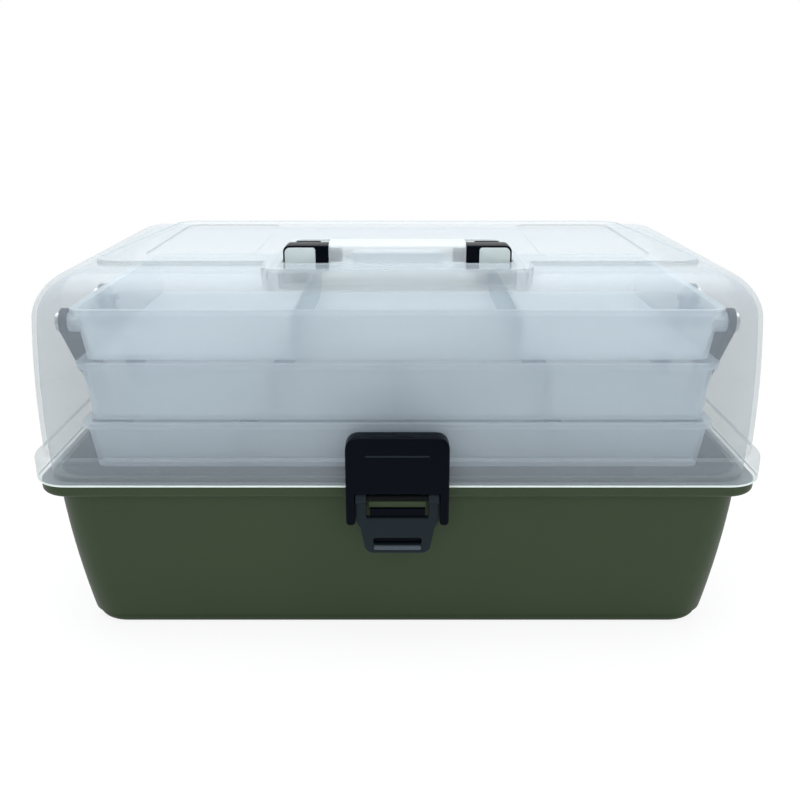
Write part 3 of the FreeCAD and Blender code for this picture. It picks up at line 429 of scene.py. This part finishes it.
# thin moulded ridge that runs round a level outline of the lid
def makeRidge(name, outline, level, radius, material):
    curve = bpy.data.curves.new(name, "CURVE")
    curve.dimensions = "3D"
    curve.bevel_depth, curve.bevel_resolution = radius * mm, ridgeRoundness
    line = curve.splines.new("POLY")
    line.points.add(len(outline) - 1)
    for point, (x, y) in zip(line.points, outline):
        point.co = (x * mm, y * mm, level * mm, 1)
    line.use_cyclic_u = True
    curve.materials.append(material)
    ridge = bpy.data.objects.new(name, curve)
    bpy.context.scene.collection.objects.link(ridge)
    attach(ridge, "lid")


plateau = {"front": 156, "rear": 143, "halfDepth": 75, "corner": 12, "platformHalf": 67,
           "platformFront": 98, "platformCorner": 8, "innerCorner": 1, "level": 200.6, "ridge": 0.45,
           "wellHalf": 58.5, "wellFront": 82, "wellRear": 5.5, "wellCorner": 6, "arcSteps": 8}
flange = {"halfWidth": 189.5, "halfDepth": 109.5, "corner": 19.5, "level": 91.35, "ridge": 0.5,
          "arcSteps": 12}


def makeLidEdges():
    deep, near, out = (plateau[key] for key in ("halfDepth", "platformHalf", "platformFront"))
    steps = plateau["arcSteps"]
    outline = bothSides([(near, -out, plateau["platformCorner"]), (near, -deep, plateau["innerCorner"]),
                         (plateau["front"], -deep, plateau["corner"]),
                         (plateau["rear"], deep, plateau["corner"])])
    makeRidge("plateauEdge", roundedOutline(outline, steps), plateau["level"], plateau["ridge"],
              looks["clear_plastic"])
    wide = plateau["wellHalf"]
    outline = roundedRectangle(-wide, wide, -plateau["wellFront"], -plateau["wellRear"],
                               plateau["wellCorner"], steps)
    makeRidge("wellEdge", outline, plateau["level"], plateau["ridge"], looks["clear_plastic"])
    wide, deep = flange["halfWidth"], flange["halfDepth"]
    outline = roundedRectangle(-wide, wide, -deep, deep, flange["corner"], flange["arcSteps"])
    # this ridge carries the painted highlight of the flange edge
    makeRidge("flangeEdgeHighlight", outline, flange["level"], flange["ridge"], paintedEdgeHighlight)


handle = {"armInner": 44, "armOuter": 57.5, "armBottom": 196.2, "armTop": 199.6, "armFront": 69.5,
          "armEdge": 0.4, "front": 79, "pivotY": 14, "pivotLevel": 197, "barrel": 4.5, "blockInner": 34.65,
          "blockBack": 67.5, "blockTop": 209.2, "blockCorner": 3.2, "corner": 0.8, "edge": 0.7,
          "tongueInner": 28.5, "tongueHalf": 3.4, "tongueY": 69, "tongueLevel": 203.5}


# corner block on its flat arm, the hinge barrel and the tongue in the grip
def makeHandleArm(name, side):
    top, low, corner = (handle[key] for key in ("blockTop", "armBottom", "corner"))
    block, outer, inner = (side * handle[key] for key in ("blockInner", "armOuter", "armInner"))
    shape = bmesh.new()
    outline = [(block, low, corner), (outer, low, corner), (outer, top, handle["blockCorner"]),
               (block, top, corner)]
    addPlate(shape, roundedOutline(outline), handle["front"], handle["blockBack"], handle["edge"],
             segments=3)
    addPlate(shape, rectangle(inner, outer, low, handle["armTop"]), handle["armFront"], handle["pivotY"],
             handle["armEdge"], segments=2)
    reach, level, y = handle["tongueHalf"], handle["tongueLevel"], -handle["tongueY"]
    addBar(shape, rectangle(y - reach, y + reach, level - reach, level + reach),
           *sorted((side * handle["tongueInner"], inner)))
    addBar(shape, disc(-handle["pivotY"], handle["pivotLevel"], handle["barrel"]), *sorted((inner, outer)),
           handle["armEdge"])
    finishPiece("handleArm" + name, shape, looks["black_gloss"], "handle",
                ["handle_arm_" + name.lower()])


reflectionPatch = {"inner": 41.2, "outer": 56.6, "bottom": 197.5, "top": 208.2, "proud": 0.25, "sunk": 0.6,
         "edge": 0.15, "bottomCorner": 0.8, "outerCorner": 2.6, "innerCorner": 1.4}


# painted reflection of a soft box: a pale patch on the front of the black block
def makeHandleReflectionPatch(name, side):
    shape = bmesh.new()
    inner, outer, low, top = side * reflectionPatch["inner"], side * reflectionPatch["outer"], reflectionPatch["bottom"], reflectionPatch["top"]
    outline = [(inner, low, reflectionPatch["bottomCorner"]), (outer, low, reflectionPatch["bottomCorner"]),
               (outer, top, reflectionPatch["outerCorner"]), (inner, top, reflectionPatch["innerCorner"])]
    addPlate(shape, roundedOutline(outline), handle["front"] + reflectionPatch["proud"],
             handle["front"] - reflectionPatch["sunk"], reflectionPatch["edge"], segments=2)
    finishPiece("handleReflectionPatch" + name, shape, paintedReflection, "handle")


makeLatchCover()
makeLatchCoverLine()
makeLatchLever()
makeLatchHookAndSlotShade()
makeLatchLip()
makeLidEdges()
for sideName, sideSign in (("Left", -1), ("Right", 1)):
    makeHandleArm(sideName, sideSign)
    makeHandleReflectionPatch(sideName, sideSign)
print("latch, lid edges and handle made")


# lengths in metres
studio = {"floorSize": 6.0, "floorColour": "#F4F5F6", "fadeStart": 0.22, "fadeEnd": 0.5, "whiteNear": 0.87,
          "worldColour": "#F4F6F8", "worldStrength": 0.75, "darkSide": 0.12, "dimBelow": -0.55,
          "brightAbove": 0.1}
white = (1, 1, 1, 1)


def seenWhite(material):
    # 1 for the rays that show the background, so that it looks white without more light on the box
    path = addNode(material, "ShaderNodeLightPath")
    seen = addNode(material, "ShaderNodeMath", {"operation": "MAXIMUM"},
                   {0: path.outputs["Is Camera Ray"], 1: path.outputs["Is Glossy Ray"]})
    seen = addNode(material, "ShaderNodeMath", {"operation": "MAXIMUM"},
                   {0: seen.outputs[0], 1: path.outputs["Is Transmission Ray"]})
    return seen.outputs[0]


def makeFloor():
    mesh = bpy.data.meshes.new("floor")
    sketch = bmesh.new()
    bmesh.ops.create_grid(sketch, x_segments=1, y_segments=1, size=studio["floorSize"] / 2)
    sketch.to_mesh(mesh)
    sketch.free()
    floor = bpy.data.objects.new("floor", mesh)
    bpy.context.scene.collection.objects.link(floor)
    material = newMaterial("studio floor")
    lit = addNode(material, "ShaderNodeBsdfDiffuse", {"Color": linearColour(studio["floorColour"])})
    glow = addNode(material, "ShaderNodeEmission", {"Color": white, "Strength": 1.0})
    place = addNode(material, "ShaderNodeTexCoord").outputs["Object"]
    distance = addNode(material, "ShaderNodeVectorMath", {"operation": "LENGTH"}, {0: place})
    fade = addNode(material, "ShaderNodeMapRange",
                   {"From Min": studio["fadeStart"], "From Max": studio["fadeEnd"],
                    "To Min": studio["whiteNear"], "To Max": 1.0}, {"Value": distance.outputs["Value"]})
    share = addNode(material, "ShaderNodeMath", {"operation": "MULTIPLY"},
                    {0: seenWhite(material), 1: fade.outputs[0]})
    mix = addNode(material, "ShaderNodeMixShader",
                  links={0: share.outputs[0], 1: lit.outputs[0], 2: glow.outputs[0]})
    finishMaterial(material, mix.outputs[0])
    mesh.materials.append(material)


# white behind the box from every side; what the box mirrors is dim on the camera's side, as in a studio
def makeWorld():
    world = bpy.data.worlds.new("studio")
    bpy.context.scene.world = world
    world.use_nodes = True
    world.node_tree.nodes.clear()
    soft = addNode(world, "ShaderNodeBackground", {"Color": linearColour(studio["worldColour"]),
                                                   "Strength": studio["worldStrength"]})
    direction = addNode(world, "ShaderNodeTexCoord").outputs["Generated"]
    parts = addNode(world, "ShaderNodeSeparateXYZ", links={0: direction})
    side = addNode(world, "ShaderNodeMapRange",
                   {"From Min": studio["dimBelow"], "From Max": studio["brightAbove"],
                    "To Min": studio["darkSide"], "To Max": 1.0}, {"Value": parts.outputs["Y"]})
    direct = addNode(world, "ShaderNodeLightPath").outputs["Is Camera Ray"]
    shown = addNode(world, "ShaderNodeMath", {"operation": "MAXIMUM"}, {0: side.outputs[0], 1: direct})
    glow = addNode(world, "ShaderNodeBackground", {"Color": white}, {"Strength": shown.outputs[0]})
    mix = addNode(world, "ShaderNodeMixShader",
                  links={0: seenWhite(world), 1: soft.outputs[0], 2: glow.outputs[0]})
    addNode(world, "ShaderNodeOutputWorld", links={"Surface": mix.outputs[0]})


lamps = {"softboxTop": {"place": (0, 0.1, 1.1), "width": 1.4, "height": 1.0, "power": 17},
         "softboxFront": {"place": (0, -1.3, 0.8), "width": 1.4, "height": 0.8, "power": 5}}
lampTarget = (0, 0, 0.1)


def makeLamp(name, place, width, height, power):
    data = bpy.data.lights.new(name, "AREA")
    data.shape = "RECTANGLE"
    data.size, data.size_y, data.energy = width, height, power
    lamp = bpy.data.objects.new(name, data)
    lamp.location = place
    lamp.rotation_euler = (Vector(lampTarget) - Vector(place)).to_track_quat("-Z", "Y").to_euler()
    bpy.context.scene.collection.objects.link(lamp)


view = {"place": (0.0013, -0.530, 0.282), "pitchDown": 18.9, "focalPixels": 900, "framePixels": 800,
        "sensorWidth": 36}


def makeCamera():
    data = bpy.data.cameras.new("camera")
    data.sensor_width = view["sensorWidth"]
    data.lens = view["focalPixels"] / view["framePixels"] * data.sensor_width
    camera = bpy.data.objects.new("camera", data)
    camera.location = view["place"]
    camera.rotation_euler = (math.radians(90 - view["pitchDown"]), 0, 0)
    bpy.context.scene.collection.objects.link(camera)
    bpy.context.scene.camera = camera


makeFloor()
makeWorld()
for lampName, lamp in lamps.items():
    makeLamp(lampName, **lamp)
makeCamera()
bpy.context.scene.cycles.transparent_max_bounces = 40
bpy.context.scene.view_settings.view_transform = "Standard"
print("studio ready")
